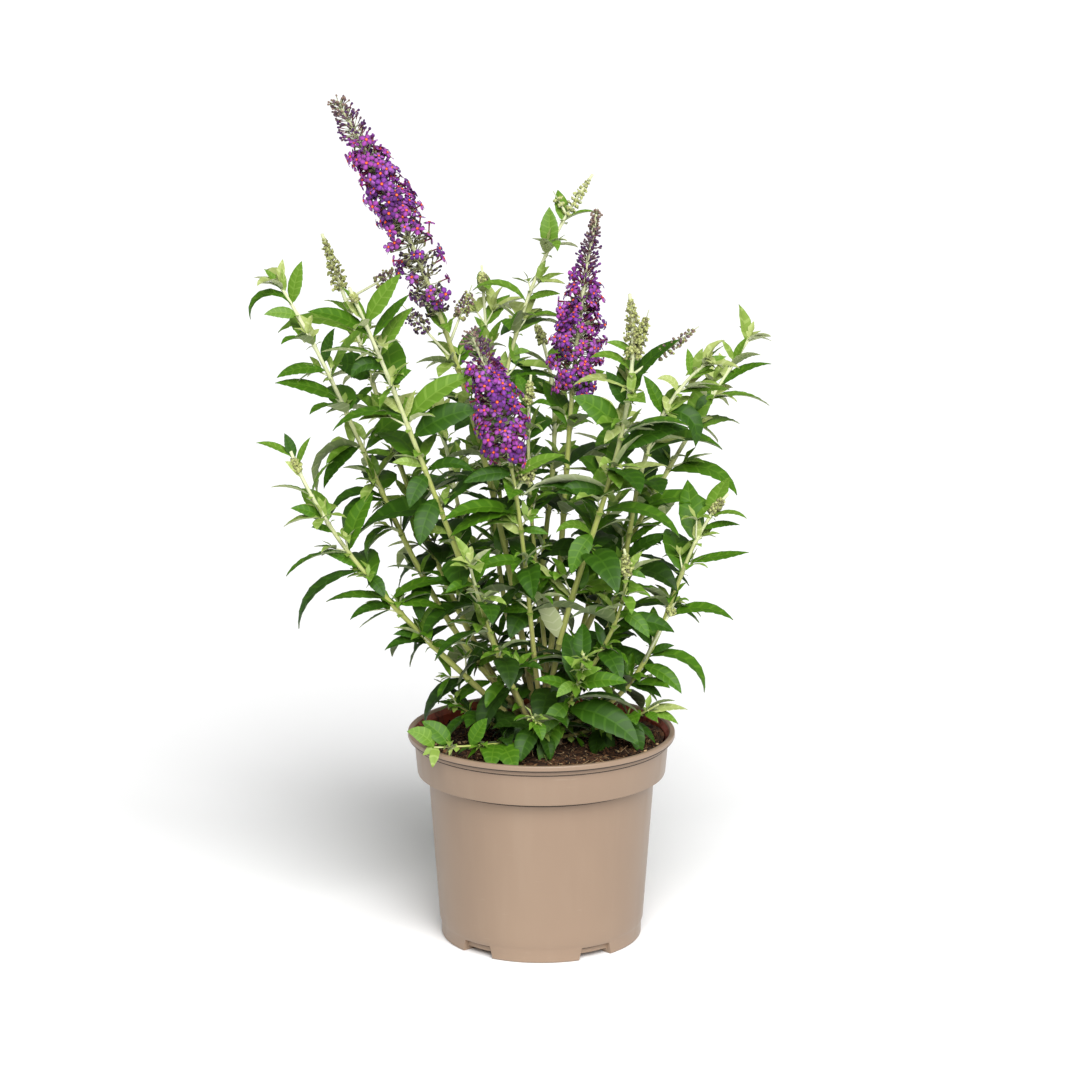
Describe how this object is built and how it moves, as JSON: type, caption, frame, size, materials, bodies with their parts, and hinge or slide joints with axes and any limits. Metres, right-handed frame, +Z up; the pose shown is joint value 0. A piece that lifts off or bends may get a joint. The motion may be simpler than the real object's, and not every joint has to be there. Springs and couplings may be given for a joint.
{
  "type": "potted butterfly bush",
  "caption": "Young butterfly bush with arching leafy canes and spikes of small purple flowers and green buds, growing in a round, collared taupe plastic pot.",
  "frame": {"origin": "centre of the pot's flat underside, on the level surface it stands on", "axes": "+Z up, +X to the right and -Y to the front as the plant is best seen"},
  "size_m": [0.3703, 0.2857, 0.6014],
  "materials": {
    "pot_plastic": "satin taupe injection-moulded plastic, dark red-brown inside",
    "peat": "moist fibrous peat, matt",
    "bark": "rough young bark",
    "cane": "smooth yellow-green to tan skin, felted near the tips",
    "foliage": "deep green leaves with pale felted undersides, purple florets and pale green buds"
  },
  "bodies": {
    "root": {"pot": "pot_plastic", "soil": "peat", "stump": "bark", "back_cane": "cane", "back_left_cane": "cane", "back_right_cane": "cane", "centre_back_cane": "cane", "centre_front_cane": "cane", "centre_right_cane": "cane", "far_back_left_cane": "cane", "left_back_cane": "cane", "left_cane": "cane", "left_front_cane": "cane", "low_left_cane": "cane", "low_right_cane": "cane", "right_cane": "cane", "right_front_cane": "cane", "short_left_front_cane": "cane", "short_right_front_cane": "cane", "tall_centre_cane": "cane", "tall_left_cane": "cane", "upper_right_cane": "cane", "back_foliage": "foliage", "back_left_foliage": "foliage", "back_right_foliage": "foliage", "centre_back_foliage": "foliage", "centre_front_foliage": "foliage", "centre_right_foliage": "foliage", "creeping_shoot_foliage": "foliage", "far_back_left_foliage": "foliage", "front_shoot_foliage": "foliage", "left_back_foliage": "foliage", "left_foliage": "foliage", "left_front_foliage": "foliage", "low_back_right_shoot_foliage": "foliage", "low_back_shoot_foliage": "foliage", "low_front_shoot_foliage": "foliage", "low_left_foliage": "foliage", "low_left_shoot_foliage": "foliage", "low_right_foliage": "foliage", "low_right_shoot_foliage": "foliage", "right_foliage": "foliage", "right_front_foliage": "foliage", "short_left_front_foliage": "foliage", "short_right_front_foliage": "foliage", "tall_centre_foliage": "foliage", "tall_left_foliage": "foliage", "upper_right_foliage": "foliage"}
  },
  "joints": []
}
